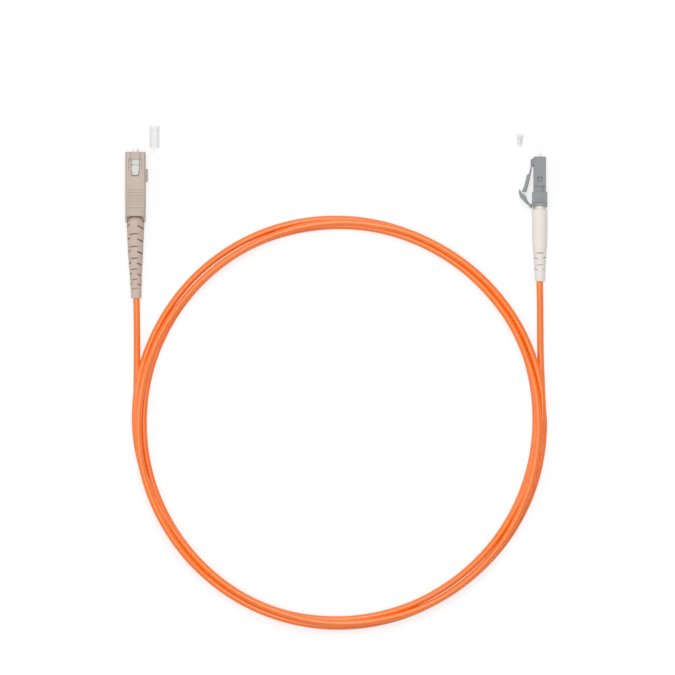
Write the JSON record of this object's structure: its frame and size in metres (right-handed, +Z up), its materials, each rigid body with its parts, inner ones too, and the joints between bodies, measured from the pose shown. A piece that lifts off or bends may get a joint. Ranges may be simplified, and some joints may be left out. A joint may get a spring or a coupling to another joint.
{
  "type": "fibre optic patch cable",
  "caption": "Coiled orange fibre optic patch cable with a square push-pull plug on one end, a small latch plug on the other, and their dust caps taken off.",
  "frame": {"origin": "on the table, under the middle of the two plugs and their caps", "axes": "+Z up; +Y the way both plugs point; the square plug is on the -X side, the latch plug on the +X side, and the coil lies towards -Y"},
  "size_m": [0.1548, 0.185, 0.009],
  "materials": {
    "beige_plastic": "moulded engineering plastic, pale beige-pink, satin",
    "beige_rubber": "soft moulded elastomer, pale beige, matt",
    "white_plastic": "moulded plastic, pale grey-white, satin",
    "grey_plastic": "moulded engineering plastic, cool mid grey, satin",
    "white_rubber": "soft moulded elastomer, warm white, matt",
    "clear_plastic": "soft translucent moulded plastic, pale grey-white",
    "ceramic": "polished white zirconia",
    "nickel": "nickel-plated turned metal",
    "spring_steel": "drawn stainless spring wire",
    "orange_jacket": "extruded cable jacket, bright orange, satin gloss",
    "fibre_buffer": "tight fibre buffer, off-white"
  },
  "bodies": {
    "root": {"sc_plug_frame": "white_plastic", "sc_spring": "spring_steel", "sc_stop_ring": "nickel", "sc_crimp_sleeve": "nickel", "sc_boot": "beige_rubber", "sc_fibre": "fibre_buffer", "sc_dust_cap": "clear_plastic", "lc_housing": "grey_plastic", "lc_spring": "spring_steel", "lc_rear_body": "grey_plastic", "lc_trigger_clip": "grey_plastic", "lc_crimp_sleeve": "nickel", "lc_boot": "white_rubber", "lc_fibre": "fibre_buffer", "lc_dust_cap": "clear_plastic", "cable_coil": "orange_jacket", "sc_lead": "orange_jacket", "lc_lead": "orange_jacket"},
    "sc_sliding_grip": {"sc_grip": "beige_plastic"},
    "sc_ferrule_body": {"sc_ferrule": "ceramic", "sc_ferrule_flange": "nickel"},
    "lc_ferrule_body": {"lc_ferrule": "ceramic", "lc_ferrule_flange": "nickel"},
    "lc_trigger_body": {"lc_trigger": "grey_plastic"},
    "lc_latch_body": {"lc_latch_lever": "grey_plastic"}
  },
  "joints": [
    {"name": "sc_grip_slide", "type": "slide", "parent": "root", "child": "sc_sliding_grip", "axis": [0, 1, 0], "range_m": [-0.002, 0]},
    {"name": "sc_ferrule_slide", "type": "slide", "parent": "root", "child": "sc_ferrule_body", "axis": [0, 1, 0], "range_m": [-0.001, 0], "stiffness_N_per_m": 1000, "deforming": ["sc_spring"]},
    {"name": "lc_ferrule_slide", "type": "slide", "parent": "root", "child": "lc_ferrule_body", "axis": [0, 1, 0], "range_m": [-0.0008, 0], "stiffness_N_per_m": 800, "deforming": ["lc_spring"]},
    {"name": "lc_trigger_press", "type": "hinge", "parent": "root", "child": "lc_trigger_body", "pos_m": [0.07025, 0.00277, 0.0028], "axis": [0, 0, 1], "range_deg": [-8, 0], "stiffness_Nm_per_rad": 0.02},
    {"name": "lc_latch_press", "type": "hinge", "parent": "root", "child": "lc_latch_body", "pos_m": [0.07105, 0.01691, 0.0028], "axis": [0, 0, 1], "range_deg": [0, 7.6]}
  ],
  "couplings": [
    {"joint": "lc_latch_press", "follows": "lc_trigger_press", "ratio": -0.94}
  ]
}
